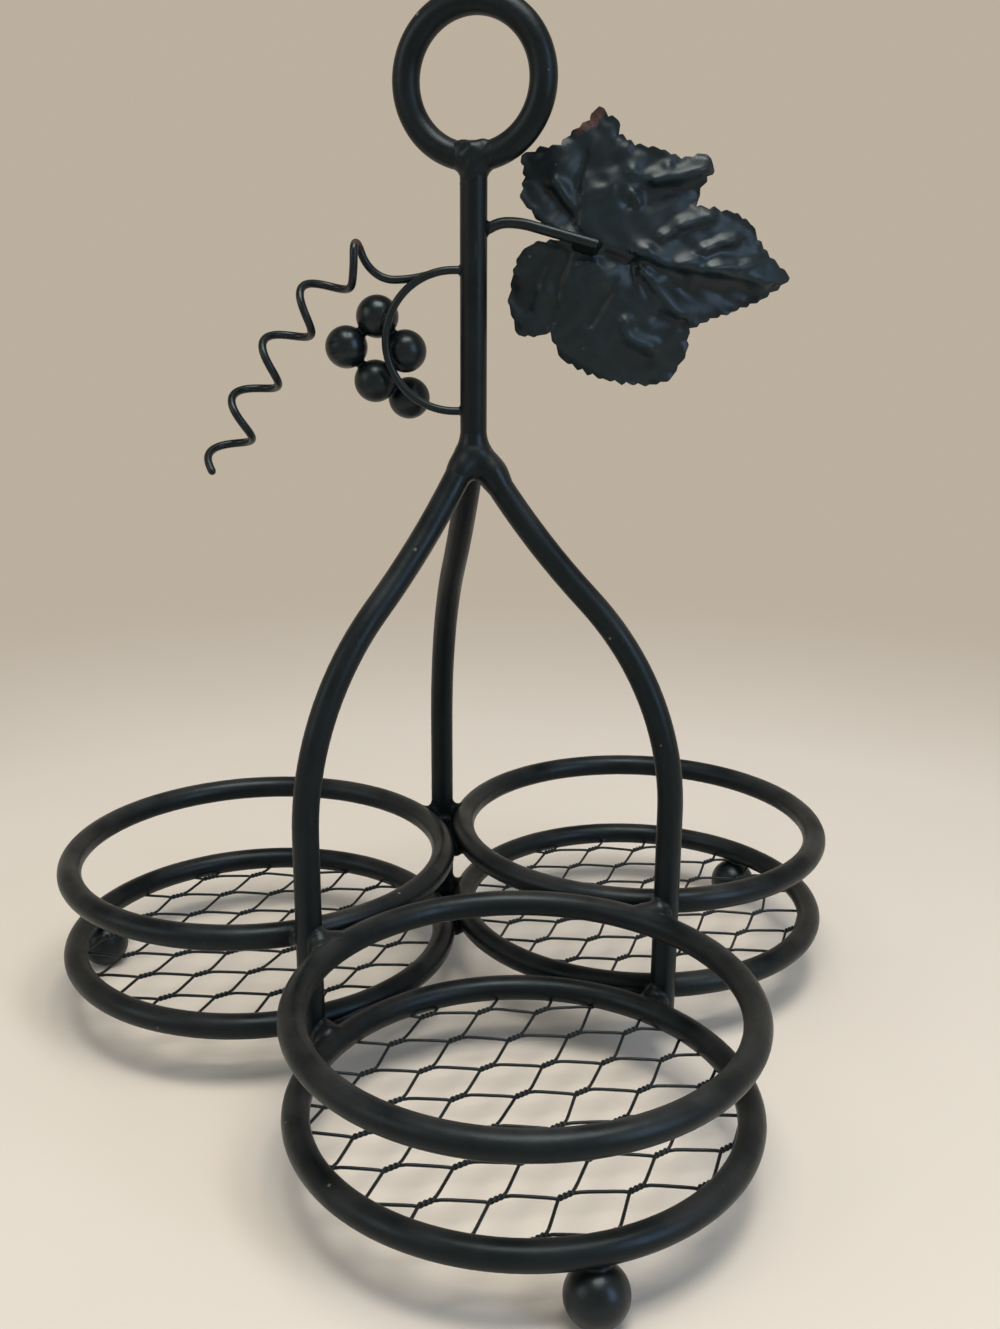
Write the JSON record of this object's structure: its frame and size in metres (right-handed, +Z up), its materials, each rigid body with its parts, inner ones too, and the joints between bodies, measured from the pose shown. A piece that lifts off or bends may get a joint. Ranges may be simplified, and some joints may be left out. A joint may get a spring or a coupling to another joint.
{
  "type": "bottle caddy",
  "caption": "Welded rod caddy with a ring handle on a post, bent legs, stacked bottle rings floored with hexagonal netting, ball feet and a grapevine ornament.",
  "frame": {"origin": "on the post's axis, in the plane of the table that the ball feet stand on", "axes": "+Z up along the post, +X towards the right-hand leg in the plane of the handle ring, +Y to the back"},
  "size_m": [0.1942, 0.2048, 0.2429],
  "materials": {
    "frame_paint": "satin black paint on round steel rod",
    "weld_paint": "glossier black paint over weld metal",
    "net_paint": "matt black paint on twisted wire",
    "foot_paint": "satin black paint on steel balls",
    "ornament_paint": "satin black paint on wire and balls",
    "leaf_paint": "satin dark slate paint on pressed sheet"
  },
  "bodies": {
    "root": {"handle_ring": "frame_paint", "center_post": "frame_paint", "leg_right": "frame_paint", "leg_back": "frame_paint", "leg_left": "frame_paint", "upper_ring_right": "frame_paint", "upper_ring_left": "frame_paint", "upper_ring_front": "frame_paint", "lower_ring_right": "frame_paint", "lower_ring_left": "frame_paint", "lower_ring_front": "frame_paint", "handle_weld": "weld_paint", "crown_weld": "weld_paint", "lower_ring_welds": "weld_paint", "upper_ring_welds": "weld_paint", "ring_seam_welds": "weld_paint", "foot_welds": "weld_paint", "vine_welds": "weld_paint", "grape_welds": "weld_paint", "tendril_weld": "weld_paint", "leaf_welds": "weld_paint", "net_right": "net_paint", "net_left": "net_paint", "net_front": "net_paint", "foot_ball_right": "foot_paint", "foot_ball_left": "foot_paint", "foot_ball_front": "foot_paint", "grape_top": "ornament_paint", "grape_outer": "ornament_paint", "grape_inner": "ornament_paint", "grape_bottom": "ornament_paint", "grape_low": "ornament_paint", "vine_wire": "ornament_paint", "tendril": "ornament_paint", "leaf_stem": "ornament_paint", "leaf": "leaf_paint"}
  },
  "joints": []
}
